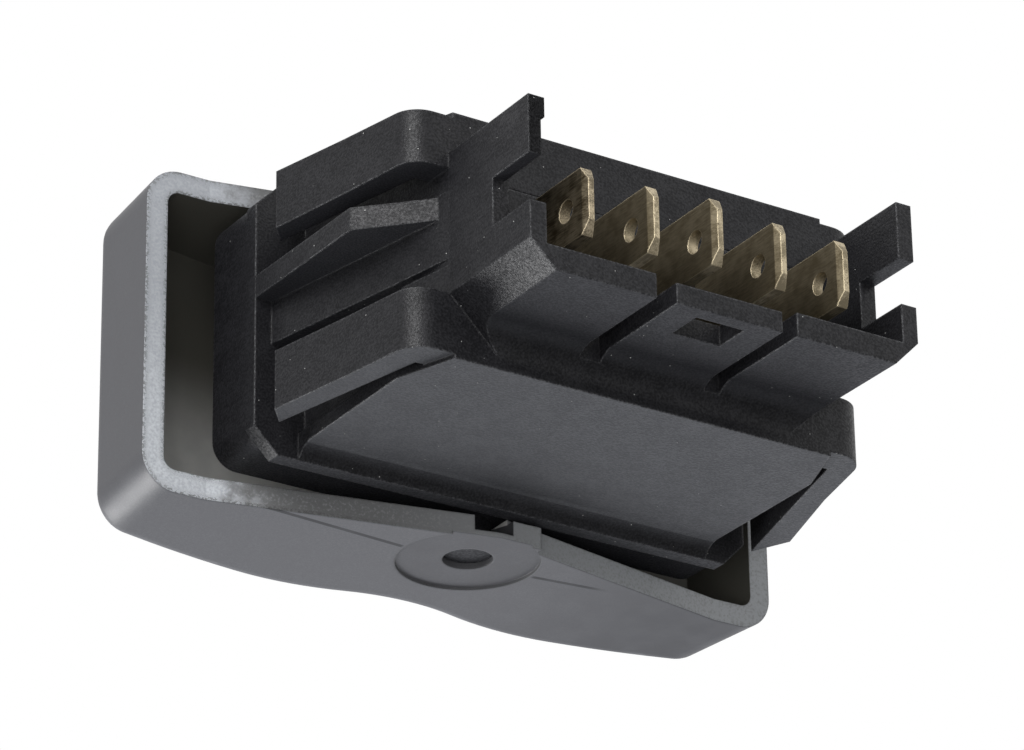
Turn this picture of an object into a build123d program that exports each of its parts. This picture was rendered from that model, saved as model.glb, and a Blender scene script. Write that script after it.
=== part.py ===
"""Power window switch: a rocker on a clip-in housing with a five-blade plug socket.

The origin is the centre of the panel cut-out, on the seat of the housing's flange. +Z points out of
the panel to the rocker, -Z to the blades of the plug socket, X runs along the rocker and -Y is the
side of the socket that has the latch window.
"""
import math
import os

from build123d import *

os.makedirs("parts", exist_ok=True)

# ---------------------------------------------------------------- driving sizes, in millimetres
# flange and upper block of the housing
flange_half_x = 19.77
flange_half_y = 10.0
flange_lip = 1.2
block_half_y = 9.1
block_top_z = 5.6
block_corner = 1.8

# body between the snap arms
step_z = -17.0
body_front_y = 9.05
body_back_y = 8.7
side_wall = 1.0
body_foot_x = 14.8
body_shoulder_x = 16.4
body_shoulder_z = -12.5
core_top_x = 15.9
cove_radius = 1.6
end_wall_foot_x = 15.1
end_wall_top_x = 18.5
end_wall_y = (-2.0, 2.9)

# snap arms: straight and close at the +X end, splayed at the -X end
arm_y_inner = 4.52
arm_y_outer = 8.745
arm_back_root_y = 8.35
arm_knee_x = {"plus": 19.1, "minus": 19.2}
arm_knee_z = -10.3
arm_root_inset = {"plus": 1.2, "minus": 1.6}
arm_splay = {"plus": 1.32, "minus": 2.2}
arm_tip_z = {"plus": -3.8, "minus": -3.2}
arm_heel_inset = {"plus": 1.27, "minus": 1.3}
arm_heel_rise = {"plus": 1.6, "minus": 2.8}
arm_bend = {"plus": 1.9, "minus": 2.3}
arm_slot_end = (16.3, -14.6)
gusset_y = (-4.52, -2.45)
gusset_top_z = -12.5

# lead-in rib between the arms
rib_y = (1.12, 2.75)
rib_ramp_foot_z = -16.17
rib_outer_x = 19.5
rib_top_x = 19.75

# plug socket
rim_z = -26.5
socket_half_x = 15.17
socket_end_wall = 1.22
socket_front_y = -6.445
socket_front_wall = 1.7
socket_back_y = 5.6
socket_corner = 1.9
socket_foot_radius = 2.0
tongue_x = (-4.15, 4.1)
tongue_relief = 0.25
front_slot_plus = 1.56
front_slot_minus = 1.2
front_slot_end_z = -17.6
latch_half_x = 1.87
latch_z = (-25.4, -22.7)
end_slot_y = (-1.93, 1.45)
end_slot_floor_z = -22.2
prong_thin = 0.93
prong_bead_y = 4.2

# cavity of the housing
cavity_half_x = 13.6
cavity_half_y = 6.6
floor_top_z = -15.3
carrier_window_half_x = 13.0
carrier_window_y = (-4.75, 4.27)
ledge_z = 2.6
ledge_width = 0.6

# pivot
pivot_z = 5.0
pin_radius = 1.7
pin_clearance = 0.05
pin_end_y = 11.3
ear_radius = 3.4
rocker_swing_deg = 7.0

# rocker cap
cap_half_x = 25.42
cap_half_y = 11.92
cap_wall = 1.62
cap_roof = 1.8
cap_end_lean_deg = 5.0
cap_corner = 2.6
cap_inner_corner = 0.9
cap_rim_z = 4.97
cap_rim_middle_z = 0.65
cap_rim_slope = 0.21
cap_edge_round = 1.6
crown_dip_z = 14.35
crown_turn = (4.2, 14.95)
crown_brow = (13.0, 15.65)
crown_end_z = 12.95
boss_disc_radius = 5.0
boss_disc_depth = 0.2
boss_inner_radius = 3.7
boss_inner_height = 0.4
tab_minus_x = 3.2
notch_x = (-0.95, 1.9)
notch_skin = 0.55
push_rib_width = 1.6
push_rib_half_y = 2.6
push_rib_root_z = 10.4
push_above_pivot = 2.0

# blades of the plug socket
blade_pitch = 5.0
blade_middle_x = 0.45
blade_count = 5
blade_width = 4.8
blade_thickness = 0.8
blade_middle_y = -0.65
middle_blade_shift_y = 0.45
blade_tip_z = -26.43
blade_hole_radius = 0.8
blade_hole_from_tip = 2.33
blade_tip_corner_y = 0.95
blade_tip_corner_z = 0.6
blade_tip_bevel_x = 0.2
blade_tip_bevel_z = 0.5
blade_slot_clearance = 0.02
foot_width = 3.6

# insulating carrier of the blades
carrier_flange = 2.0
carrier_clearance = 0.05

# contacts
contact_radius = 0.8
contact_height = 0.4
bar_thickness = 0.5
bar_width = 2.4
bar_overhang = 1.0
outer_contact_inset = 1.8
inner_contact_reach = 1.8
middle_contact_offset = 0.9
contact_overtravel_gap = 0.03
spring_post_radius = 0.8
spring_post_height = 2.5

# plungers, their guide and their springs
plunger_stem_radius = 2.0
plunger_stem_clearance = 0.06
plunger_half_x = 3.6
plunger_y = (-3.2, 6.3)
plunger_head_room = 1.0
plunger_rib_gap = 0.05
guide_thickness = 1.8
spring_y = 3.9
spring_bore_radius = 1.8
spring_radius = 1.3
spring_wire = 0.4
spring_pitch = 2.6
spring_bore_top_z = 0.2

# ---------------------------------------------------------------- sizes that follow
swing = math.radians(rocker_swing_deg)
blade_x = [blade_middle_x + blade_pitch * (2 - i) for i in range(blade_count)]
blade_y = [blade_middle_y + middle_blade_shift_y * (i == 2) for i in range(blade_count)]
plunger_x = {"plus": blade_x[1], "minus": blade_x[3]}
carrier_top_z = floor_top_z + carrier_flange
foot_top_z = carrier_top_z + blade_thickness
fixed_top_z = foot_top_z + contact_height
plunger_travel = {side: abs(x) * math.sin(swing) for side, x in plunger_x.items()}
push_tip_z = pivot_z + push_above_pivot


def fixed_contact_places():
    """The x of the fixed contacts, from blade 1 to blade 5; the middle blade carries two."""
    return [
        blade_x[0] - outer_contact_inset,
        blade_x[1] + middle_contact_offset,
        blade_x[2] + inner_contact_reach,
        blade_x[2] - inner_contact_reach,
        blade_x[3] - middle_contact_offset,
        blade_x[4] + outer_contact_inset,
    ]


def finish(part, name):
    """Label the piece and write its file."""
    part.label = name
    export_step(part, f"parts/{name}.step")


def both_ends(points):
    """An outline given on the +X side, closed by its mirror image."""
    return points + [(-x, z) for x, z in reversed(points)]


# ---------------------------------------------------------------- housing
# One moulding: body block, flange, upper block with the pivot pins, plug socket and snap arms.
core_outline = both_ends([(end_wall_foot_x, step_z), (core_top_x, 0)])
side_outline = both_ends([
    (body_foot_x, step_z),
    (body_shoulder_x, body_shoulder_z),
    (body_shoulder_x, 0),
])
end_wall_outline = both_ends([(end_wall_foot_x, step_z), (end_wall_top_x, 0)])
end_wall_lean = (end_wall_top_x - end_wall_foot_x) / -step_z
rib_ramp_top_z = rib_ramp_foot_z + (rib_outer_x - end_wall_foot_x)
body_sides = {1: body_front_y, -1: body_back_y}


def snap_arm(end, root_y):
    """A back (+Y) snap arm of one end, bent at its root, as it would stand at the +X end."""
    knee_x = arm_knee_x[end]
    tip_x = knee_x + arm_splay[end]
    tip_z = arm_tip_z[end]
    with BuildPart() as arm:
        with BuildSketch(Plane.XZ) as arm_face:
            with BuildLine():
                Polyline(
                    (end_wall_foot_x - 1, step_z),
                    (knee_x - arm_root_inset[end], step_z),
                    (knee_x, arm_knee_z),
                    (tip_x, tip_z),
                    (tip_x - arm_heel_inset[end], tip_z + arm_heel_rise[end]),
                    arm_slot_end,
                    (end_wall_foot_x - 1, arm_slot_end[1]),
                    close=True,
                )
            make_face()
            bend = arm_face.vertices().group_by(Axis.Y)[0].sort_by(Axis.X)[-1]
            fillet(bend, radius=arm_bend[end])
        extrude(amount=-arm_y_outer)
        with BuildSketch(Plane.YZ) as arm_front:
            Polygon(
                (arm_y_inner, step_z),
                (root_y, step_z),
                (arm_y_outer, tip_z),
                (arm_y_outer, 0),
                (arm_y_inner, 0),
                align=None,
            )
        extrude(amount=flange_half_x + arm_y_inner, mode=Mode.INTERSECT)
    return arm.part


plus_back_arm = snap_arm("plus", arm_back_root_y)
plus_front_arm = mirror(snap_arm("plus", arm_y_outer), about=Plane.XZ)
minus_back_arm = mirror(snap_arm("minus", arm_back_root_y), about=Plane.YZ)
minus_front_arm = mirror(mirror(snap_arm("minus", arm_y_outer), about=Plane.XZ), about=Plane.YZ)

with BuildPart() as housing:
    # core of the body, its two smooth side walls and the coves under the flange
    with BuildSketch(Plane.XZ.offset(body_front_y - side_wall)) as core_face:
        Polygon(*core_outline, align=None)
    extrude(amount=-(body_front_y + body_back_y - 2 * side_wall))
    for side, wall_y in body_sides.items():
        with BuildSketch(Plane.XZ.offset(side * wall_y)) as side_face:
            Polygon(*side_outline, align=None)
        extrude(amount=-side * side_wall)

    # leaning wall in the middle of each end
    with BuildSketch(Plane.XZ.offset(-end_wall_y[1])) as end_wall_face:
        Polygon(*end_wall_outline, align=None)
    extrude(amount=end_wall_y[1] - end_wall_y[0])

    for side, wall_y in body_sides.items():
        with BuildSketch(Plane.YZ) as cove_section:
            with BuildLine():
                foot = (-side * wall_y, -cove_radius)
                lip = (-side * flange_half_y, 0)
                Line(foot, (-side * wall_y, 0))
                Line((-side * wall_y, 0), lip)
                TangentArc(foot, lip, tangent=(0, 1))
            make_face()
        extrude(amount=body_shoulder_x, both=True)

    # flange lip
    with BuildSketch() as flange_plan:
        Rectangle(2 * flange_half_x, 2 * flange_half_y)
        chamfer(flange_plan.vertices(), length=block_corner)
    extrude(amount=flange_lip)

    # upper block
    with BuildSketch() as block_plan:
        RectangleRounded(2 * flange_half_x, 2 * block_half_y, block_corner)
    extrude(amount=block_top_z)

    # ears that carry the pivot pins
    with BuildSketch(Plane.XZ.offset(-block_half_y)) as ear_face:
        with Locations((0, pivot_z)):
            Circle(ear_radius)
        with Locations((0, pivot_z / 2)):
            Rectangle(2 * ear_radius, pivot_z)
    extrude(amount=2 * block_half_y)

    # walls of the plug socket, open at the back
    with BuildSketch(Plane.XY.offset(rim_z)) as socket_plan:
        with BuildLine():
            front = socket_front_y
            Polyline(
                (-socket_half_x, socket_back_y),
                (-socket_half_x, front + socket_corner),
                (-socket_half_x + socket_corner, front),
                (socket_half_x - socket_corner, front),
                (socket_half_x, front + socket_corner),
                (socket_half_x, socket_back_y),
                close=True,
            )
        make_face()
    extrude(amount=step_z - rim_z)

    # snap arms, two at each end, with a gusset beside the front one
    add([plus_back_arm, plus_front_arm, minus_back_arm, minus_front_arm])
    gusset_top_x = end_wall_foot_x + end_wall_lean * (gusset_top_z - step_z)
    with BuildSketch(Plane.XZ.offset(-gusset_y[1])) as gusset_face:
        Polygon(
            *both_ends([(end_wall_foot_x, step_z), (gusset_top_x, gusset_top_z)]), align=None
        )
    extrude(amount=gusset_y[1] - gusset_y[0])

    # cove at the foot of the socket's front wall
    foot_edges = housing.edges().filter_by_position(Axis.Z, step_z, step_z)
    foot_edges = foot_edges.filter_by(GeomType.LINE)
    fillet(
        foot_edges.filter_by_position(Axis.Y, socket_front_y, socket_front_y),
        radius=socket_foot_radius,
    )

    # lead-in ribs
    with BuildSketch(Plane.XZ.offset(-rib_y[1])) as rib_face:
        Polygon(
            *both_ends([
                (end_wall_foot_x, rib_ramp_foot_z),
                (rib_outer_x, rib_ramp_top_z),
                (rib_top_x, 0),
            ]),
            align=None,
        )
    extrude(amount=rib_y[1] - rib_y[0])

    # hollow of the plug socket
    inner_x = socket_half_x - socket_end_wall
    inner_front_y = front + socket_front_wall
    with BuildSketch(Plane.XY.offset(rim_z)) as socket_hollow:
        with Locations((0, (inner_front_y + socket_back_y) / 2)):
            Rectangle(2 * inner_x, socket_back_y - inner_front_y)
        tongue_middle = sum(tongue_x) / 2
        with Locations((tongue_middle, inner_front_y - tongue_relief / 2)):
            Rectangle(tongue_x[1] - tongue_x[0], tongue_relief)
    extrude(amount=step_z - rim_z, mode=Mode.SUBTRACT)

    # thin prong with a bead at the back of the +X end wall
    thin_cut = socket_end_wall - prong_thin
    with BuildSketch(Plane.XY.offset(rim_z)) as prong_relief:
        with Locations((inner_x + thin_cut / 2, (end_slot_y[1] + prong_bead_y) / 2)):
            Rectangle(thin_cut, prong_bead_y - end_slot_y[1])
    extrude(amount=end_slot_floor_z - rim_z, mode=Mode.SUBTRACT)

    # slots beside the latch tongue, the latch window, and the slots in the end walls
    slot_height = front_slot_end_z - rim_z
    slot_middle_z = (front_slot_end_z + rim_z) / 2
    with BuildSketch(Plane.XZ.offset(-inner_front_y)) as front_cuts:
        with Locations((tongue_x[1] + front_slot_plus / 2, slot_middle_z)):
            Rectangle(front_slot_plus, slot_height)
        with Locations((tongue_x[0] - front_slot_minus / 2, slot_middle_z)):
            Rectangle(front_slot_minus, slot_height)
        with Locations((0, sum(latch_z) / 2)):
            Rectangle(2 * latch_half_x, latch_z[1] - latch_z[0])
    extrude(amount=socket_front_wall + socket_foot_radius, mode=Mode.SUBTRACT)
    with BuildSketch(Plane.YZ) as end_cuts:
        with Locations((sum(end_slot_y) / 2, (rim_z + end_slot_floor_z) / 2)):
            Rectangle(end_slot_y[1] - end_slot_y[0], end_slot_floor_z - rim_z)
    extrude(amount=socket_half_x, both=True, mode=Mode.SUBTRACT)

    # cavity for the contacts, with a ledge for the guide plate and a window for the carrier
    with BuildSketch(Plane.XY.offset(floor_top_z)) as cavity_plan:
        Rectangle(2 * cavity_half_x, 2 * cavity_half_y)
    extrude(amount=ear_radius + pivot_z - floor_top_z, mode=Mode.SUBTRACT)
    with BuildSketch(Plane.XY.offset(ledge_z)) as ledge_plan:
        Rectangle(2 * (cavity_half_x + ledge_width), 2 * (cavity_half_y + ledge_width))
    extrude(amount=ear_radius + pivot_z - ledge_z, mode=Mode.SUBTRACT)
    with BuildSketch(Plane.XY.offset(step_z)) as window_plan:
        with Locations((0, sum(carrier_window_y) / 2)):
            Rectangle(2 * carrier_window_half_x, carrier_window_y[1] - carrier_window_y[0])
    extrude(amount=floor_top_z - step_z, mode=Mode.SUBTRACT)

    # pivot pins
    for side in (1, -1):
        with BuildSketch(Plane.XZ.offset(side * block_half_y)) as pin_face:
            with Locations((0, pivot_z)):
                Circle(pin_radius)
        extrude(amount=side * (pin_end_y - block_half_y))

finish(housing.part, "housing")

# ---------------------------------------------------------------- rocker cap
# A hollow shell: a block and the side profile intersected, hollowed by the same shape set in.
hollow_half_x = cap_half_x - cap_wall
hollow_half_y = cap_half_y - cap_wall
cap_bottom_z = cap_rim_middle_z
cap_block_top_z = crown_brow[1] + cap_edge_round
rim_reach_x = (cap_rim_z - cap_rim_middle_z) / cap_rim_slope


def cap_block(inset, corner):
    """A block with end walls that lean in above the rim, set in from the cap's outside by inset."""
    lean = math.tan(math.radians(cap_end_lean_deg))
    end_x = {z: cap_half_x - inset - lean * (z - cap_rim_z) for z in (cap_bottom_z, cap_block_top_z)}
    with BuildPart() as block:
        with BuildSketch(Plane.XZ.offset(cap_half_y - inset)) as block_side:
            Polygon(*both_ends([(x, z) for z, x in end_x.items()]), align=None)
        extrude(amount=-2 * (cap_half_y - inset))
        upright = block.edges().filter_by(Axis.X, reverse=True).filter_by(Axis.Y, reverse=True)
        fillet(upright, radius=corner)
    return block.part


def draw_cap_profile(drop):
    """Draw the side profile in the open BuildLine: a finger dip between humps, lowered by drop."""
    turn_x, turn_z = crown_turn
    brow_x, brow_z = crown_brow
    dip = ThreePointArc((-turn_x, turn_z - drop), (0, crown_dip_z - drop), (turn_x, turn_z - drop))
    hump = TangentArc(dip @ 1, (brow_x, brow_z - drop), tangent=dip % 1)
    slope = TangentArc(hump @ 1, (cap_half_x, crown_end_z - drop), tangent=hump % 1)
    mirror([hump, slope], about=Plane.YZ)
    base_x = cap_half_x + cap_wall
    Polyline(
        slope @ 1,
        (base_x, cap_rim_z),
        (base_x, cap_bottom_z),
        (-base_x, cap_bottom_z),
        (-base_x, cap_rim_z),
        (-cap_half_x, crown_end_z - drop),
    )


with BuildPart() as cap_core:
    add(cap_block(cap_wall, cap_inner_corner))
    with BuildSketch(Plane.XZ.offset(hollow_half_y)) as core_side:
        with BuildLine():
            draw_cap_profile(cap_roof)
        make_face()
    extrude(amount=-2 * hollow_half_y, mode=Mode.INTERSECT)

with BuildPart() as rocker_cap:
    # outer block with the finger dip in its crown
    add(cap_block(0, cap_corner))
    with BuildSketch(Plane.XZ.offset(cap_half_y)) as cap_side:
        with BuildLine():
            draw_cap_profile(0)
        make_face()
    extrude(amount=-2 * cap_half_y, mode=Mode.INTERSECT)
    crown_faces = rocker_cap.faces().filter_by_position(Axis.Z, crown_end_z, 2 * crown_end_z)
    along = crown_faces.edges().filter_by(Axis.Y, reverse=True)
    across = crown_faces.edges().filter_by(Axis.Y).sort_by(Axis.X)
    fillet(along + [across[0], across[-1]], radius=cap_edge_round)

    # hollow, with push ribs left standing under the crown
    add(cap_core.part, mode=Mode.SUBTRACT)
    for x in plunger_x.values():
        tip_middle_z = push_tip_z + push_rib_width / 2
        with BuildSketch(Plane.XZ) as rib_section:
            with Locations((x, tip_middle_z)):
                Circle(push_rib_width / 2)
            with Locations((x, (push_rib_root_z + tip_middle_z) / 2)):
                Rectangle(push_rib_width, push_rib_root_z - tip_middle_z)
        extrude(amount=push_rib_half_y, both=True)
        with BuildSketch(Plane.XZ) as rib_root:
            with Locations((x, (push_rib_root_z + crown_dip_z) / 2)):
                Rectangle(push_rib_width, crown_dip_z - push_rib_root_z)
        extrude(amount=hollow_half_y, both=True)

    # pivot bosses inside, and the shallow discs outside
    for side in (1, -1):
        with BuildSketch(Plane.XZ.offset(side * hollow_half_y)) as boss_face:
            with Locations((0, pivot_z)):
                Circle(boss_inner_radius)
        extrude(amount=-side * boss_inner_height)
        with BuildSketch(Plane.XZ.offset(side * cap_half_y)) as disc_face:
            with Locations((0, pivot_z)):
                Circle(boss_disc_radius)
        extrude(amount=-side * boss_disc_depth, mode=Mode.SUBTRACT)
    with BuildSketch(Plane.XZ) as pivot_hole:
        with Locations((0, pivot_z)):
            Circle(pin_radius + pin_clearance)
    extrude(amount=cap_half_y, both=True, mode=Mode.SUBTRACT)

    # lower rim: level at the ends, falling to the pivot, with a tab on its -X side
    with BuildSketch(Plane.XZ) as rim_cut:
        for side, start_x in {1: 0, -1: tab_minus_x}.items():
            with BuildLine():
                Polyline(
                    (side * start_x, cap_bottom_z - 1),
                    (side * start_x, cap_rim_middle_z + cap_rim_slope * start_x),
                    (side * rim_reach_x, cap_rim_z),
                    (side * (cap_half_x + 1), cap_rim_z),
                    (side * (cap_half_x + 1), cap_bottom_z - 1),
                    close=True,
                )
            make_face()
    extrude(amount=cap_half_y, both=True, mode=Mode.SUBTRACT)

    # notch beside the tab, which leads the pivot pin to its hole
    for side in (1, -1):
        with BuildSketch(Plane.XZ.offset(side * (cap_half_y - notch_skin))) as notch_face:
            with Locations((sum(notch_x) / 2, (pivot_z + cap_bottom_z) / 2)):
                Rectangle(notch_x[1] - notch_x[0], pivot_z - cap_bottom_z)
        extrude(amount=-side * cap_wall, mode=Mode.SUBTRACT)

finish(rocker_cap.part, "rocker_cap")

# ---------------------------------------------------------------- carrier of the blades
with BuildPart() as terminal_carrier:
    window_width = carrier_window_y[1] - carrier_window_y[0]
    with BuildSketch(Plane.XY.offset(step_z)) as plug_plan:
        with Locations((0, sum(carrier_window_y) / 2)):
            Rectangle(
                2 * (carrier_window_half_x - carrier_clearance),
                window_width - 2 * carrier_clearance,
            )
    extrude(amount=floor_top_z - step_z)
    with BuildSketch(Plane.XY.offset(floor_top_z)) as flange_plan:
        Rectangle(
            2 * (cavity_half_x - carrier_clearance),
            2 * (cavity_half_y - carrier_clearance),
        )
    extrude(amount=carrier_flange)
    with BuildSketch(Plane.XY.offset(carrier_top_z)) as posts:
        with Locations([(x, spring_y) for x in plunger_x.values()]):
            Circle(spring_post_radius)
    extrude(amount=spring_post_height)
    with BuildSketch(Plane.XY.offset(step_z)) as blade_slots:
        with Locations(list(zip(blade_x, blade_y))):
            Rectangle(
                blade_thickness + 2 * blade_slot_clearance,
                blade_width + 2 * blade_slot_clearance,
            )
    extrude(amount=carrier_top_z - step_z, mode=Mode.SUBTRACT)

finish(terminal_carrier.part, "terminal_carrier")

# ---------------------------------------------------------------- blades
# Each blade ends in a foot on the carrier, folded towards the contact that it carries.
contact_x = fixed_contact_places()
foot_margin = contact_radius + 0.15
foot_reach = [
    (contact_x[0] - foot_margin, blade_x[0] + blade_thickness / 2),
    (blade_x[1] - blade_thickness / 2, contact_x[1] + foot_margin),
    (contact_x[3] - foot_margin, contact_x[2] + foot_margin),
    (contact_x[4] - foot_margin, blade_x[3] + blade_thickness / 2),
    (blade_x[4] - blade_thickness / 2, contact_x[5] + foot_margin),
]

for i in range(blade_count):
    with BuildPart() as blade:
        with BuildSketch(Plane.YZ.offset(blade_x[i])) as blade_face:
            tip_half_y = blade_width / 2 - blade_tip_corner_y
            with BuildLine():
                Polyline(
                    (blade_y[i] - tip_half_y, blade_tip_z),
                    (blade_y[i] + tip_half_y, blade_tip_z),
                    (blade_y[i] + blade_width / 2, blade_tip_z + blade_tip_corner_z),
                    (blade_y[i] + blade_width / 2, foot_top_z),
                    (blade_y[i] - blade_width / 2, foot_top_z),
                    (blade_y[i] - blade_width / 2, blade_tip_z + blade_tip_corner_z),
                    close=True,
                )
            make_face()
            with Locations((blade_y[i], blade_tip_z + blade_hole_from_tip)):
                Circle(blade_hole_radius, mode=Mode.SUBTRACT)
        extrude(amount=blade_thickness / 2, both=True)
        with BuildSketch(Plane.XZ.offset(-blade_y[i])) as blade_edge:
            with Locations((blade_x[i], 0)):
                Polygon(
                    *both_ends([
                        (blade_thickness / 2 - blade_tip_bevel_x, blade_tip_z),
                        (blade_thickness / 2, blade_tip_z + blade_tip_bevel_z),
                        (blade_thickness / 2, foot_top_z),
                    ]),
                    align=None,
                )
        extrude(amount=blade_width / 2, both=True, mode=Mode.INTERSECT)
        low_x, high_x = foot_reach[i]
        with BuildSketch(Plane.XY.offset(carrier_top_z)) as foot_plan:
            with Locations(((low_x + high_x) / 2, blade_y[i])):
                Rectangle(high_x - low_x, foot_width)
        extrude(amount=blade_thickness)
    finish(blade.part, f"terminal_blade_{i + 1}")

# ---------------------------------------------------------------- fixed contacts
for i, x in enumerate(contact_x):
    with BuildPart() as fixed_contact:
        with BuildSketch(Plane.XY.offset(foot_top_z)) as tip_plan:
            with Locations((x, blade_middle_y)):
                Circle(contact_radius)
        extrude(amount=contact_height)
    finish(fixed_contact.part, f"fixed_contact_{i + 1}")

# ---------------------------------------------------------------- plungers, contact bars, springs
bar_contacts = {"plus": contact_x[0:3], "minus": contact_x[3:6]}

for side, x in plunger_x.items():
    moving_bottom_z = fixed_top_z + plunger_travel[side] + contact_overtravel_gap
    bar_bottom_z = moving_bottom_z + contact_height
    plunger_bottom_z = bar_bottom_z + bar_thickness
    block_top = ledge_z - plunger_head_room
    stem_top_z = push_tip_z - plunger_rib_gap
    places = bar_contacts[side]

    with BuildPart() as plunger:
        with BuildSketch(Plane.XY.offset(plunger_bottom_z)) as block_plan:
            with Locations((x, sum(plunger_y) / 2)):
                Rectangle(2 * plunger_half_x, plunger_y[1] - plunger_y[0])
            chamfer(block_plan.vertices(), length=contact_radius)
        extrude(amount=block_top - plunger_bottom_z)
        with BuildSketch(Plane.XY.offset(block_top)) as stem_plan:
            with Locations((x, 0)):
                Circle(plunger_stem_radius)
        extrude(amount=stem_top_z - block_top)
        stem_end = plunger.edges().filter_by(GeomType.CIRCLE).sort_by(Axis.Z)[-1]
        chamfer(stem_end, length=contact_height)
        with BuildSketch(Plane.XY.offset(plunger_bottom_z)) as bore_plan:
            with Locations((x, spring_y)):
                Circle(spring_bore_radius)
        extrude(amount=spring_bore_top_z - plunger_bottom_z, mode=Mode.SUBTRACT)
    finish(plunger.part, f"plunger_{side}")

    with BuildPart() as contact_bar:
        low_x = min(places) - bar_overhang
        high_x = max(places) + bar_overhang
        with BuildSketch(Plane.XY.offset(bar_bottom_z)) as bar_plan:
            with Locations(((low_x + high_x) / 2, blade_middle_y)):
                Rectangle(high_x - low_x, bar_width)
            chamfer(bar_plan.vertices(), length=bar_thickness)
        extrude(amount=bar_thickness)
    finish(contact_bar.part, f"contact_bar_{side}")

    for number, place in enumerate(places, start=1):
        with BuildPart() as moving_contact:
            with BuildSketch(Plane.XY.offset(moving_bottom_z)) as tip_plan:
                with Locations((place, blade_middle_y)):
                    Circle(contact_radius)
            extrude(amount=contact_height)
        finish(moving_contact.part, f"moving_contact_{side}_{number}")

    with BuildPart() as spring:
        coil = Helix(
            pitch=spring_pitch,
            height=spring_bore_top_z - carrier_top_z - spring_wire,
            radius=spring_radius,
            center=(x, spring_y, carrier_top_z + spring_wire / 2),
        )
        with BuildSketch(Plane(origin=coil @ 0, x_dir=(1, 0, 0), z_dir=coil % 0)) as wire:
            Rectangle(spring_wire, spring_wire)
        sweep(path=coil, is_frenet=True)
    finish(spring.part, f"plunger_spring_{side}")

# ---------------------------------------------------------------- guide plate
with BuildPart() as guide_plate:
    plate_half_x = cavity_half_x + ledge_width - carrier_clearance
    plate_half_y = cavity_half_y + ledge_width - carrier_clearance
    with BuildSketch(Plane.XY.offset(ledge_z)) as plate_plan:
        Rectangle(2 * plate_half_x, 2 * plate_half_y)
        with Locations([(x, 0) for x in plunger_x.values()]):
            Circle(plunger_stem_radius + plunger_stem_clearance, mode=Mode.SUBTRACT)
    extrude(amount=guide_thickness)

finish(guide_plate.part, "guide_plate")
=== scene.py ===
# %% [markdown]
# # A power window switch, seen from its plug side
# The switch in a car door has three things on view. A black housing clips into the arm rest
# with four snap arms. A grey rocker covers it and tips under the finger. Five brass blades
# stand in the socket that takes the plug.
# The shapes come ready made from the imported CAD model, so this lesson is about finishes.
# A moulded plastic is never one flat colour: it has grain, dust, rubbed edges and flow marks.

# %% [markdown]
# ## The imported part
# A piece's object sits at the origin and its place is in its mesh, so the Object coordinate
# of a texture is the true position in the part, and the texture stays on the piece when the
# rocker tips.

import bpy
from mathutils import Matrix, Vector


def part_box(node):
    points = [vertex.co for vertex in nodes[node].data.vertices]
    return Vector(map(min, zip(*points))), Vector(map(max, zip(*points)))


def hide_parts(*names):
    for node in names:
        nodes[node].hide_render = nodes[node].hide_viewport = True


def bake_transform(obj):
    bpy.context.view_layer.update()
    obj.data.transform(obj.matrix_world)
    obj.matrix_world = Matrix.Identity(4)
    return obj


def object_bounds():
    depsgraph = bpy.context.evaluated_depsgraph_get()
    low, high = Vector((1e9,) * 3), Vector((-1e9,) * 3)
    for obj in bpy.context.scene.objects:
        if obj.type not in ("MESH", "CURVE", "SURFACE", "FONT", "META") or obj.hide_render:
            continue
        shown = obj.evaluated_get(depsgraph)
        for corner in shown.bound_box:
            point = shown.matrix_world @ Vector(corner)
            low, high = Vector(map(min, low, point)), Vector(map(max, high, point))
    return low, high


MM = 0.001
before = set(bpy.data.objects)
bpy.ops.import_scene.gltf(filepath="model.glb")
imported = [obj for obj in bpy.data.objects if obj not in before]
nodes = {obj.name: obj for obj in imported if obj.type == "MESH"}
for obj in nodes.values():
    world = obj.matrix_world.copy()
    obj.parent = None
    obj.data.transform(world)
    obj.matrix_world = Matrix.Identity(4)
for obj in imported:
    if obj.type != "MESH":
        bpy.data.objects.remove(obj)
cad_low, cad_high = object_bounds()
print("pieces:", len(nodes))
print("size in mm:", [round(length / MM, 1) for length in cad_high - cad_low])

# %% [markdown]
# ## The camera
# The switch is held in the air and looked at from below, so that the socket faces us and
# the long flank shows its whole length. A long lens, a third of a metre away, keeps the
# far end almost as large as the near end. The three directions below are the camera's own
# axes, written in the part's frame: to its right, down, and forward into the scene.

# %% Camera
camera_data = bpy.data.cameras.new("camera")
camera_data.lens = 167.609
camera_data.sensor_width = 36
camera_data.clip_start = 10 * MM
camera_data.clip_end = 10
camera = bpy.data.objects.new("camera", camera_data)
bpy.context.scene.collection.objects.link(camera)
bpy.context.scene.camera = camera

camera_right = Vector((-0.8405228, -0.0148853, -0.5415716))
camera_down = Vector((-0.2191718, -0.9048314, 0.3650257))
camera_forward = Vector((-0.4954645, 0.4255097, 0.7572690))
camera_place = Vector((0.1619009, -0.139216, -0.2483733))
camera_turn = Matrix((camera_right, -camera_down, -camera_forward)).transposed().to_4x4()
camera.matrix_world = Matrix.Translation(camera_place) @ camera_turn
print("camera stands", round(camera_place.length, 3), "m from the origin")

# %% [markdown]
# ## Helpers for shader nodes
# A finish is a small network of nodes, and written out in full each node takes many lines.
# `add` makes one node and plugs its inputs in one call: an input is given either a fixed
# value or the output of another node. The other helpers name the few steps that repeat.

# %% Node helpers
def new_material(name):
    """A material with its node tree and its main shader."""
    material = bpy.data.materials.new(name)
    material.use_nodes = True
    return material, material.node_tree, material.node_tree.nodes["Principled BSDF"]


def plug(tree, socket, value):
    """Give an input a fixed value or the output of another node."""
    if isinstance(value, bpy.types.NodeSocket):
        tree.links.new(value, socket)
    else:
        socket.default_value = value


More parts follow.
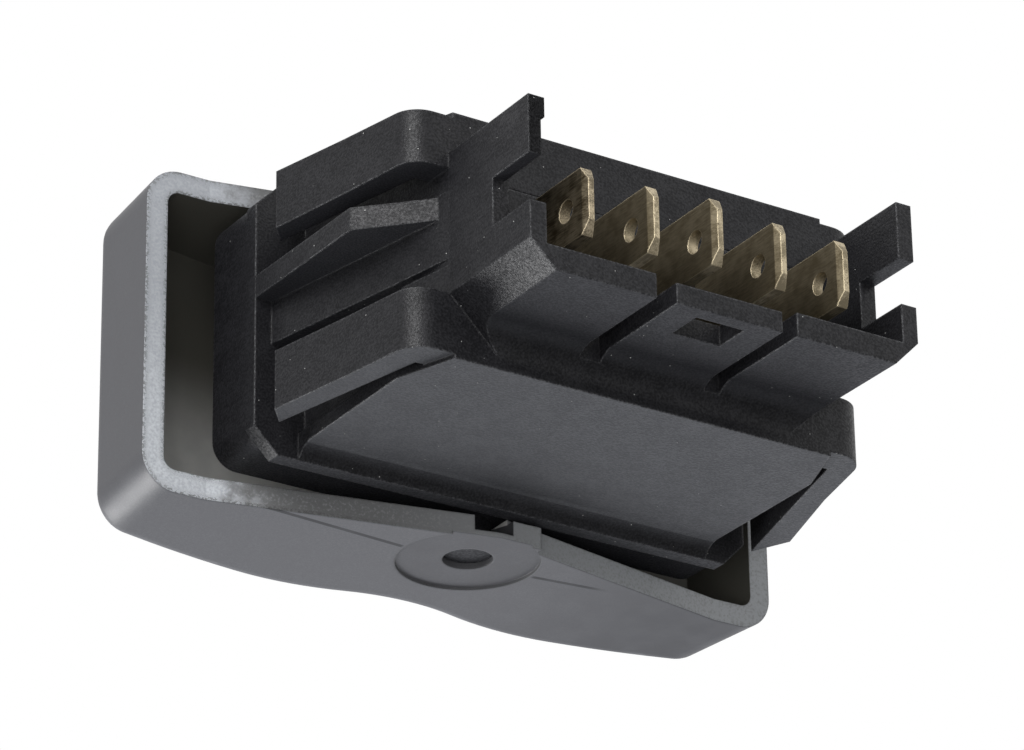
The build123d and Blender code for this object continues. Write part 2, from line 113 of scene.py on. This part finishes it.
def add(tree, kind, inputs, **settings):
    """One shader node with its settings and its inputs."""
    node = tree.nodes.new("ShaderNode" + kind)
    for setting, value in settings.items():
        setattr(node, setting, value)
    for key, value in inputs.items():
        plug(tree, node.inputs[key], value)
    return node


def sums(tree, operation, first, second):
    """The result of one sum, such as MULTIPLY or MAXIMUM."""
    return add(tree, "Math", {0: first, 1: second}, operation=operation).outputs[0]


def remap(tree, value, start, end, low=0.0, high=1.0):
    """Fade from low to high while the value runs from start to end, and hold it outside."""
    ends = {"Value": value, "From Min": start, "From Max": end, "To Min": low, "To Max": high}
    return add(tree, "MapRange", ends, interpolation_type="SMOOTHSTEP").outputs[0]


def blend_values(tree, amount, first, second):
    """The first value where the amount is 0 and the second where it is 1."""
    return add(tree, "Mix", {0: amount, 2: first, 3: second}, data_type="FLOAT").outputs[0]


def blend_colours(tree, amount, first, second):
    """The first colour where the amount is 0 and the second where it is 1."""
    node = add(tree, "Mix", {0: amount}, data_type="RGBA")
    for socket, colour in ((node.inputs[6], first), (node.inputs[7], second)):
        plug(tree, socket, colour if isinstance(colour, bpy.types.NodeSocket) else (*colour, 1))
    return node.outputs[2]


# %% [markdown]
# ## Places and patterns
# Every pattern is measured in the part's own metres. A noise of 0.16 mm is the fine grain
# that spark-eroded moulds leave on black plastic, and one of a millimetre or two is the
# cloudy mottle of a surface that has been handled. Stretching a noise along the height of
# the part turns it into the fine upright drag marks on walls that slid out of the mould.

# %% Patterns
def position(tree):
    """The place in the part, in metres."""
    return add(tree, "TexCoord", {}).outputs["Object"]


def along(tree, vector):
    """The three parts of a vector: x, y and z."""
    return add(tree, "SeparateXYZ", {0: vector}).outputs


def facing(tree, axis):
    """How squarely a surface faces along an axis: 0 edge on and 1 square on."""
    normal = add(tree, "TexCoord", {}).outputs["Normal"]
    return sums(tree, "ABSOLUTE", along(tree, normal)[axis], 0.0)


def noise(tree, size, detail=2.0, stretch=(1, 1, 1)):
    """Soft noise with blobs of the given size in metres, longer where stretch is below 1."""
    place = add(tree, "VectorMath", {0: position(tree), 1: stretch}, operation="MULTIPLY")
    settings = {"Vector": place.outputs[0], "Scale": 1 / size, "Detail": detail}
    return add(tree, "TexNoise", settings).outputs[0]


def specks(tree, spacing, radius):
    """Small round dots, scattered about one spacing apart: 1 inside a dot and 0 outside."""
    dots = add(tree, "TexVoronoi", {"Vector": position(tree), "Scale": 1 / spacing})
    reach = radius / spacing
    return remap(tree, dots.outputs["Distance"], 0.5 * reach, reach, 1.0, 0.0)


# %% [markdown]
# ## Edges
# CAD edges are knife sharp and real ones never are. The mould leaves a radius of about a
# tenth of a millimetre, and that is what catches the light as a thin bright line. The
# Bevel node bends the shading near each edge without touching the mesh. Comparing the bent
# direction with the true one tells how close an edge is. Wear belongs on the edges that
# stand out, and on the black plastic the rubbed grey there also paints their highlight. A
# little ambient occlusion tells those from the edges of a corner.

# %% Rounded and worn edges
def rounded(tree, radius):
    """The surface direction with every sharp edge rounded to the radius."""
    return add(tree, "Bevel", {"Radius": radius}, samples=4).outputs[0]


def near_edge(tree, radius):
    """1 at a sharp edge, fading to 0 at about the radius."""
    flat = add(tree, "NewGeometry", {}).outputs["Normal"]
    turn = add(tree, "VectorMath", {0: rounded(tree, radius), 1: flat}, operation="DOT_PRODUCT")
    return remap(tree, turn.outputs["Value"], 0.98, 0.8)


def outer_edge(tree, radius):
    """The same, but only where the edge stands out and isn't in a corner."""
    openness = add(tree, "AmbientOcclusion", {"Distance": 4 * radius}, samples=4).outputs["AO"]
    return sums(tree, "MULTIPLY", near_edge(tree, radius), remap(tree, openness, 0.7, 0.95))


def relief(tree, height, depth, strength, edge_radius):
    """The surface direction of a fine relief, on top of the rounded edges."""
    settings = {
        "Height": height,
        "Distance": depth,
        "Strength": strength,
        "Normal": rounded(tree, edge_radius),
    }
    return add(tree, "Bump", settings).outputs[0]


# %% [markdown]
# ## Black moulded plastic
# The housing and the blade carrier are glass-filled nylon, nearly black. What we see is
# mostly the pale room mirrored in a rough skin, so the grain has to move the roughness and
# the relief, not just the colour. Faces that look along Y, the long flanks, are painted a
# touch lighter and bluer, a painted highlight. The outer edges are rubbed grey, and the
# same grey paints the thin highlight that their rounding catches. White dust sits on it in
# single tiny grains.

# %% Black plastic
def black_plastic(name, deep, pale, smoothest, roughest, dustiness):
    """Near-black plastic between two colours, with grain, drag marks and dust."""
    material, tree, shader = new_material(name)
    grain = noise(tree, 0.16 * MM, detail=3)
    drag = noise(tree, 0.12 * MM, detail=1, stretch=(1, 1, 0.08))
    mottle = noise(tree, 1.6 * MM, detail=3)
    texture = blend_values(tree, 0.25, grain, mottle)
    end_wall_drag_and_shade = remap(tree, facing(tree, "X"), 0.6, 0.9, 0.0, 0.2)
    texture = blend_values(tree, end_wall_drag_and_shade, texture, drag)
    body = blend_colours(tree, remap(tree, texture, 0.36, 0.66), deep, pale)
    # Painted highlight: faces that look along Y are made lighter and bluer.
    flank_highlight = remap(tree, facing(tree, "Y"), 0.7, 0.95, 0.0, 0.38)
    body = blend_colours(tree, flank_highlight, body, (0.032, 0.033, 0.038))
    patchy = remap(tree, grain, 0.4, 0.62, 0.1, 0.6)
    # Rubbed edges, a lighter grey that also paints the thin highlight of the rounded edges.
    rubbed_and_highlit = sums(tree, "MULTIPLY", patchy, outer_edge(tree, 0.22 * MM))
    body = blend_colours(tree, rubbed_and_highlit, body, (0.14, 0.142, 0.15))
    dust = sums(tree, "MULTIPLY", specks(tree, 1.1 * MM, 0.05 * MM), dustiness)
    plug(tree, shader.inputs["Base Color"], blend_colours(tree, dust, body, (0.42, 0.42, 0.41)))
    plug(tree, shader.inputs["Roughness"], remap(tree, texture, 0.38, 0.62, roughest, smoothest))
    plug(tree, shader.inputs["Normal"], relief(tree, grain, 0.06 * MM, 0.6, 0.2 * MM))
    shader.inputs["Specular IOR Level"].default_value = 0.25
    return material


housing_black = black_plastic(
    "housing black",
    deep=(0.002, 0.002, 0.003),
    pale=(0.016, 0.016, 0.018),
    smoothest=0.36,
    roughest=0.54,
    dustiness=1.0,
)
panel_black = black_plastic(
    "panel black",
    deep=(0.032, 0.033, 0.036),
    pale=(0.05, 0.052, 0.056),
    smoothest=0.34,
    roughest=0.44,
    dustiness=0.8,
)
print("black plastics:", housing_black.name, "and", panel_black.name)

# %% [markdown]
# ## The rocker's grey
# The rocker is grey plastic with a satin skin. It is painted darker towards the -X end and
# on its end walls, a painted shade where less light falls. It is darker on the disc round
# its pivot, and the side walls of the disc are painted darker still, a painted shade. A hair
# line runs along its flank on both sides of the disc, where two halves of the mould met. It
# is far thinner than any edge worth modelling, so the material draws it from the height and
# the distance along.

# %% Rocker grey
pivot_height = 5.0 * MM
disc_radius = 5.0 * MM
line_half_width = 0.22 * MM
line_fall = 0.09
line_ends = (-11.5 * MM, 22.0 * MM)
line_fade = 2.0 * MM

rocker_grey, tree, shader = new_material("rocker grey")
mottle = noise(tree, 2.5 * MM, detail=4)
grain = noise(tree, 0.11 * MM, detail=2)
cloudy = remap(tree, mottle, 0.3, 0.7)
body = blend_colours(tree, cloudy, (0.06, 0.061, 0.067), (0.076, 0.077, 0.084))
body = blend_colours(tree, remap(tree, grain, 0.3, 0.9), body, (0.1, 0.102, 0.11))
x, y, z = along(tree, position(tree))
# Painted shade: darker towards the -X end, where less light falls.
minus_x_shade = remap(tree, x, -2 * MM, -20 * MM, 0.0, 0.8)
body = blend_colours(tree, minus_x_shade, body, (0.035, 0.036, 0.04))
# Painted shade: the end walls, which face along X, are made darker.
end_wall_drag_and_shade = remap(tree, facing(tree, "X"), 0.8, 1.0, 0.0, 0.5)
body = blend_colours(tree, end_wall_drag_and_shade, body, (0.03, 0.03, 0.034))
far_out = sums(tree, "ABSOLUTE", x, 0.0)
above_pivot = sums(tree, "SUBTRACT", z, pivot_height)
beyond_disc = sums(tree, "MAXIMUM", sums(tree, "SUBTRACT", far_out, disc_radius), 0.0)
offset = sums(tree, "ADD", above_pivot, sums(tree, "MULTIPLY", beyond_disc, line_fall))
offset = sums(tree, "ABSOLUTE", offset, 0.0)
line = remap(tree, offset, 0.7 * line_half_width, line_half_width, 1.0, 0.0)
line = sums(tree, "MULTIPLY", line, remap(tree, beyond_disc, 0.1 * MM, 0.4 * MM))
line = sums(tree, "MULTIPLY", line, remap(tree, x, line_ends[0], line_ends[0] + line_fade))
line = sums(tree, "MULTIPLY", line, remap(tree, x, line_ends[1], line_ends[1] - line_fade))
flat_place = add(tree, "CombineXYZ", {0: x, 1: above_pivot}).outputs[0]
from_pivot = add(tree, "VectorMath", {0: flat_place}, operation="LENGTH").outputs["Value"]
disc = remap(tree, from_pivot, 0.98 * disc_radius, 1.06 * disc_radius, 1.0, 0.0)
edge_on = remap(tree, facing(tree, "Y"), 0.95, 0.5)
# Painted shade: the side walls of the disc are made darker, and rougher.
disc_side_shade = sums(tree, "MULTIPLY", disc, edge_on)
body = blend_colours(tree, sums(tree, "MULTIPLY", disc, 0.4), body, (0.025, 0.025, 0.028))
body = blend_colours(tree, sums(tree, "MULTIPLY", disc_side_shade, 0.35), body, (0.01, 0.01, 0.011))
body = blend_colours(tree, line, body, (0.006, 0.006, 0.007))
scuffs = sums(tree, "MULTIPLY", specks(tree, 1.3 * MM, 0.07 * MM), near_edge(tree, 0.5 * MM))
plug(tree, shader.inputs["Base Color"], blend_colours(tree, scuffs, body, (0.02, 0.02, 0.02)))
satin = remap(tree, mottle, 0.3, 0.7, 0.42, 0.5)
plug(tree, shader.inputs["Roughness"], blend_values(tree, disc_side_shade, satin, 0.7))
plug(tree, shader.inputs["Normal"], relief(tree, grain, 0.01 * MM, 0.3, 0.25 * MM))
print("hair line starts", pivot_height / MM, "mm above the seat")

# %% [markdown]
# ## The rocker's worn rim
# The rim has been handled and rubbed pale at the +X end, most of all on the -Y side. The
# pale band fades soon after the corners, and dark crumbs of the old skin are left along
# its edges. Two masks do this: the distance along the part, and the closeness of an edge.

# %% Rocker rim
pale_from = 21.0 * MM
pale_gone = 16.5 * MM

rocker_rim, tree, shader = new_material("rocker rim")
x, y, z = along(tree, position(tree))
wander = noise(tree, 1.2 * MM, detail=3)
reach = sums(tree, "ADD", x, remap(tree, wander, 0.2, 0.8, -1.5 * MM, 1.5 * MM))
pale = remap(tree, reach, pale_gone, pale_from)
fleck = noise(tree, 0.18 * MM, detail=4)
flecked = remap(tree, fleck, 0.3, 0.7)
chalk = blend_colours(tree, flecked, (0.31, 0.325, 0.35), (0.44, 0.46, 0.485))
chalk = blend_colours(tree, remap(tree, y, -7 * MM, 4 * MM, 0.0, 0.5), chalk, (0.2, 0.21, 0.23))
lighter_end = remap(tree, x, 12 * MM, -12 * MM)
grey = blend_colours(tree, lighter_end, (0.095, 0.096, 0.098), (0.22, 0.23, 0.24))
grey = blend_colours(tree, remap(tree, fleck, 0.45, 0.75), grey, (0.17, 0.173, 0.178))
body = blend_colours(tree, pale, grey, chalk)
crumbs = sums(tree, "MULTIPLY", remap(tree, fleck, 0.47, 0.54), near_edge(tree, 0.9 * MM))
crumbs = sums(tree, "MULTIPLY", crumbs, remap(tree, x, 2 * MM, 14 * MM, 0.2, 1.0))
plug(tree, shader.inputs["Base Color"], blend_colours(tree, crumbs, body, (0.03, 0.03, 0.028)))
plug(tree, shader.inputs["Roughness"], remap(tree, fleck, 0.3, 0.7, 0.5, 0.7))
plug(tree, shader.inputs["Normal"], relief(tree, fleck, 0.03 * MM, 0.4, 0.2 * MM))
print("pale rim fades between", pale_from / MM, "and", pale_gone / MM, "mm")

# %% [markdown]
# ## Inside the rocker
# The outside of the rocker was coated and the inside was left bare. It is the same simple
# recipe as any bare moulding, two near greys and a grain, with one more step: a painted
# shade turns the pale plastic dark brown towards the +Y and -X walls, deep in the hollow.

# %% Bare plastic
def bare_plastic(name, shade, tint, smoothest=0.34, roughest=0.46, painted_shade=None):
    """Moulded plastic, mottled between two near colours, with painted shade at the +Y and -X
    walls.
    """
    material, tree, shader = new_material(name)
    mottle = noise(tree, 1.8 * MM, detail=3)
    grain = noise(tree, 0.1 * MM, detail=2)
    colour = blend_colours(tree, remap(tree, mottle, 0.3, 0.7), shade, tint)
    if painted_shade is not None:
        x, y, z = along(tree, position(tree))
        # Painted shade: darker and browner towards the +Y and -X walls of the hollow.
        hollow_side_shade = remap(tree, y, -8 * MM, 3 * MM)
        hollow_end_shade = remap(tree, x, 5 * MM, -10 * MM)
        colour = blend_colours(tree, sums(tree, "MAXIMUM", hollow_side_shade, hollow_end_shade), colour, painted_shade)
    plug(tree, shader.inputs["Base Color"], colour)
    plug(tree, shader.inputs["Roughness"], remap(tree, grain, 0.3, 0.7, smoothest, roughest))
    plug(tree, shader.inputs["Normal"], relief(tree, grain, 0.01 * MM, 0.3, 0.15 * MM))
    return material


rocker_inside = bare_plastic(
    "rocker inside",
    shade=(0.44, 0.44, 0.43),
    tint=(0.5, 0.5, 0.485),
    smoothest=0.5,
    roughest=0.6,
    painted_shade=(0.058, 0.056, 0.047),
)
print("bare plastic:", rocker_inside.name)

# %% [markdown]
# ## Metals
# The blades are stamped from brass strip. Their flats, which face along X, have darkened to
# brown, while the sheared edges stay bright with a few streaks. The first blade, nearly
# hidden behind the socket wall, gets a darker copy of the brass: a painted shade. The
# contacts are silver, the bars copper alloy and the springs plain steel: the same recipe
# with other colours, and the tarnish turned down.

# %% Metals
def worn_metal(name, bright, dull, tarnish, smoothest, roughest):
    """Metal with cloudy tarnish, fine rubbing marks and bright edges."""
    material, tree, shader = new_material(name)
    cloud = noise(tree, 1.1 * MM, detail=5)
    rubbing = noise(tree, 0.1 * MM, detail=2, stretch=(1, 1, 0.12))
    spread = blend_values(tree, 0.4, cloud, rubbing)
    flat = remap(tree, spread, 0.34, 0.68, 1.0, 0.72)
    sheared = remap(tree, spread, 0.42, 0.6, 0.72, 0.18)
    aged = blend_values(tree, remap(tree, facing(tree, "X"), 0.4, 0.9), sheared, flat)
    kept = sums(tree, "SUBTRACT", 1.0, near_edge(tree, 0.12 * MM))
    aged = sums(tree, "MULTIPLY", sums(tree, "MULTIPLY", aged, kept), tarnish)
    spots = sums(tree, "MULTIPLY", specks(tree, 0.9 * MM, 0.09 * MM), tarnish)
    aged = sums(tree, "MAXIMUM", aged, spots)
    plug(tree, shader.inputs["Base Color"], blend_colours(tree, aged, bright, dull))
    plug(tree, shader.inputs["Roughness"], remap(tree, spread, 0.3, 0.7, roughest, smoothest))
    plug(tree, shader.inputs["Normal"], relief(tree, rubbing, 0.006 * MM, 0.3, 0.1 * MM))
    shader.inputs["Metallic"].default_value = 1.0
    return material


metals = {
    "blade brass": ((0.64, 0.55, 0.385), (0.095, 0.077, 0.047), 1.0, 0.46, 0.62),
    # Painted shade: a darker copy of the brass for the first blade.
    "blade brass in shade": ((0.6, 0.51, 0.36), (0.026, 0.019, 0.01), 1.0, 0.5, 0.66),
    "bar alloy": ((0.62, 0.42, 0.25), (0.35, 0.22, 0.12), 0.5, 0.25, 0.4),
    "contact silver": ((0.78, 0.77, 0.75), (0.4, 0.38, 0.35), 0.35, 0.25, 0.4),
    "spring steel": ((0.55, 0.55, 0.55), (0.3, 0.29, 0.28), 0.4, 0.25, 0.4),
}
metals = {name: worn_metal(name, *recipe) for name, recipe in metals.items()}
print("metals:", ", ".join(metals))

# %% [markdown]
# ## Pale plastic inside
# The plungers and their guide slide on each other, so they are acetal, a waxy plastic in
# its natural off-white. A faint mottle and a low gloss are all that it shows.

# %% Pale plastic
plunger_acetal = bare_plastic("plunger acetal", (0.56, 0.55, 0.5), (0.62, 0.61, 0.57))
guide_acetal = bare_plastic("guide acetal", (0.5, 0.49, 0.44), (0.57, 0.56, 0.51))
print("pale plastics:", plunger_acetal.name, "and", guide_acetal.name)

# %% [markdown]
# ## Which piece gets which finish
# The names of the CAD pieces say what they are, so the first letters are enough to choose,
# and the first match counts. Two pieces carry more than one finish, each on chosen faces of
# the same mesh: the smooth side walls of the housing, and the inside and the rim of the
# rocker. A face of the rocker is inside when it looks towards the middle. Only the finish
# number of a face changes.

# %% Finishes on the pieces
finishes = {
    "housing": housing_black,
    "terminal_carrier": housing_black,
    "rocker_cap": rocker_grey,
    "terminal_blade_1": metals["blade brass in shade"],
    "terminal_blade": metals["blade brass"],
    "contact_bar": metals["bar alloy"],
    "fixed_contact": metals["contact silver"],
    "moving_contact": metals["contact silver"],
    "plunger_spring": metals["spring steel"],
    "plunger_plus": plunger_acetal,
    "plunger_minus": plunger_acetal,
    "guide_plate": guide_acetal,
}
for name, node in nodes.items():
    finish = next(finishes[start] for start in finishes if name.startswith(start))
    node.data.materials.clear()
    node.data.materials.append(finish)


def extra_finish(name, material, chosen):
    """Give another finish to the faces of a piece that the test picks."""
    mesh = nodes[name].data
    mesh.materials.append(material)
    picked = [face for face in mesh.polygons if chosen(face)]
    for face in picked:
        face.material_index = len(mesh.materials) - 1
    print(name, "has", len(picked), "faces in", material.name)


panel_nearest = 8.65 * MM
panel_farthest = 9.3 * MM
rim_highest = 5.2 * MM
inside_farthest = 10.4 * MM
ceiling_lowest = 7.0 * MM


def on_panel(face):
    """The side walls of the housing, below the flange."""
    squarely = abs(face.normal.y) > 0.97
    return squarely and panel_nearest < abs(face.center.y) < panel_farthest and face.center.z < 0


def inside_rocker(face):
    """The walls and the ceiling of the rocker's hollow."""
    if abs(face.center.y) > inside_farthest or face.normal.z > 0.1:
        return False
    outwards = face.normal.x * face.center.x + face.normal.y * face.center.y
    return outwards < 0 or (face.normal.z < -0.5 and face.center.z > ceiling_lowest)


def on_rim(face):
    """The long and short rims of the rocker, which face down."""
    return face.normal.z < -0.9 and face.center.z < rim_highest


extra_finish("housing", panel_black, on_panel)
extra_finish("rocker_cap", rocker_inside, inside_rocker)
extra_finish("rocker_cap", rocker_rim, on_rim)

# %% [markdown]
# ## Copies of the return springs
# A return spring gets shorter as its plunger goes down, which a rigid piece can't do. So a
# copy of its mesh stands in for it, and the rigid piece is hidden. Its foot and its top
# are found from the piece's box, and its height is printed.

# %% Return springs
for side in ("plus", "minus"):
    coil = "plunger_spring_" + side
    spring = bpy.data.objects.new("return_spring_" + side, nodes[coil].data.copy())
    bpy.context.scene.collection.objects.link(spring)
    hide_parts(coil)
    low, high = (Vector(corner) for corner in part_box(coil))
    foot = (low + high) / 2
    top = foot.copy()
    foot.z = low.z
    top.z = high.z
    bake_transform(spring)
    print(spring.name, "stands", round((top.z - foot.z) / MM, 1), "mm high")

# %% [markdown]
# ## White surroundings
# The background is white paper lit evenly. The camera and the mirror-like rays see it at
# full white, so gloss and metal show it too. Only two parts of the room are dimmer, and the
# camera sees neither. One is low on the right: its mirror image darkens the hollow corners
# and gives the black plastic its depth. The other is up at the left, behind the switch, and
# calms the walls that face along X. The paper low behind the switch is slightly cool. Here
# and for the lamps, left, right, up and low are meant as the camera sees them.
# The light thrown on matt surfaces is held lower, which leaves room for lamps.

# %% White surroundings
world = bpy.data.worlds.new("studio")
bpy.context.scene.world = world
world.use_nodes = True
tree = world.node_tree
tree.nodes.clear()
white = (1, 1, 1, 1)
glow_strength = 0.6


def toward(tree, aim):
    """How nearly a ray of the world points along an aim: 1 straight at it."""
    ray = add(tree, "TexCoord", {}).outputs["Generated"]
    aim = Vector(aim).normalized()
    return add(tree, "VectorMath", {0: ray, 1: aim}, operation="DOT_PRODUCT").outputs["Value"]


rays = add(tree, "LightPath", {}).outputs
seen = sums(tree, "MAXIMUM", rays["Is Camera Ray"], rays["Is Glossy Ray"])
seen = sums(tree, "MAXIMUM", seen, rays["Is Transmission Ray"])
low_right = remap(tree, toward(tree, (-0.45, -0.8, -0.4)), 0.42, 0.9, 1.0, 0.12)
far_left = remap(tree, toward(tree, (0.5, 0.43, 0.76)), 0.6, 0.95, 1.0, 0.64)
room = sums(tree, "MULTIPLY", low_right, far_left)
level = sums(tree, "MAXIMUM", room, rays["Is Camera Ray"])
cool = remap(tree, toward(tree, (0, -0.55, 0.83)), 0.4, 0.8)
cool = sums(tree, "MULTIPLY", cool, sums(tree, "SUBTRACT", 1.0, rays["Is Camera Ray"]))
tone = blend_colours(tree, cool, (1, 1, 1), (0.91, 0.93, 1.0))
paper = add(tree, "Background", {"Color": tone, "Strength": level})
glow = add(tree, "Background", {"Color": white, "Strength": glow_strength})
either = add(tree, "MixShader", {0: seen, 1: glow.outputs[0], 2: paper.outputs[0]})
add(tree, "OutputWorld", {"Surface": either.outputs[0]})
print("light on matt surfaces:", glow_strength)

# %% [markdown]
# ## Lamps
# Three round soft boxes shape the form. The key stands low at the left and a little behind,
# so that it is mirrored only in the slanted corners: the foot of the socket and the upright
# edge of the rocker. The side lamp does the same for the bends of the snap arms. The front
# lamp stands beside the camera and lights the pale rim without being mirrored anywhere.

# %% Lamps
def soft_box(name, toward, distance, width, power):
    """A round lamp at a distance from the origin, facing it."""
    data = bpy.data.lights.new(name, "AREA")
    data.shape = "DISK"
    data.size = width
    data.energy = power
    lamp = bpy.data.objects.new(name, data)
    bpy.context.scene.collection.objects.link(lamp)
    direction = Vector(toward).normalized()
    lamp.location = direction * distance
    lamp.rotation_mode = "QUATERNION"
    lamp.rotation_quaternion = direction.to_track_quat("Z", "Y")
    return lamp


lamps = [
    soft_box("key", (0.42, -0.50, 0.76), 0.4, 0.22, 1.15),
    soft_box("side", (0.72, 0.44, -0.54), 0.4, 0.26, 1.3),
    soft_box("front", (0.5, -0.43, -0.75), 0.5, 0.3, 0.9),
]
print("lamps:", [(lamp.name, round(lamp.data.energy, 2)) for lamp in lamps])

# %% [markdown]
# ## The floor
# A pale floor lies level with the tip of the socket, and catches a soft shadow in the views
# from above. Far away it fades into the white background, so that no horizon shows. The
# main camera looks up from under it, so its underside lets everything through. It neither
# colours nor shades the switch: only the camera sees it.

# %% Floor
floor_reach = 3.0
fade_from = 0.1
fade_to = 0.45
corners = [(-1, -1), (1, -1), (1, 1), (-1, 1)]
points = [(floor_reach * x, floor_reach * y, cad_low.z) for x, y in corners]
floor_mesh = bpy.data.meshes.new("floor")
floor_mesh.from_pydata(points, [], [(0, 1, 2, 3)])
floor = bpy.data.objects.new("floor", floor_mesh)
bpy.context.scene.collection.objects.link(floor)
floor.visible_diffuse = False
floor.visible_glossy = False
floor.visible_transmission = False
floor.visible_shadow = False

floor_pale, tree, shader = new_material("floor pale")
shader.inputs["Base Color"].default_value = (0.9, 0.9, 0.9, 1)
shader.inputs["Roughness"].default_value = 0.9
shader.inputs["Specular IOR Level"].default_value = 0.1
away = add(tree, "VectorMath", {0: position(tree)}, operation="LENGTH").outputs["Value"]
far = remap(tree, away, fade_from, fade_to)
shining = add(tree, "Emission", {"Color": white, "Strength": 1.0})
faded = add(tree, "MixShader", {0: far, 1: shader.outputs[0], 2: shining.outputs[0]})
below = add(tree, "NewGeometry", {}).outputs["Backfacing"]
clear = add(tree, "BsdfTransparent", {})
either = add(tree, "MixShader", {0: below, 1: faded.outputs[0], 2: clear.outputs[0]})
plug(tree, tree.nodes["Material Output"].inputs["Surface"], either.outputs[0])
floor_mesh.materials.append(floor_pale)
print("floor at", round(cad_low.z / MM, 2), "mm")

# %% [markdown]
# ## The picture
# The Standard view shows a colour as it is written.

# %% Picture settings and the end
bpy.context.scene.view_settings.view_transform = "Standard"
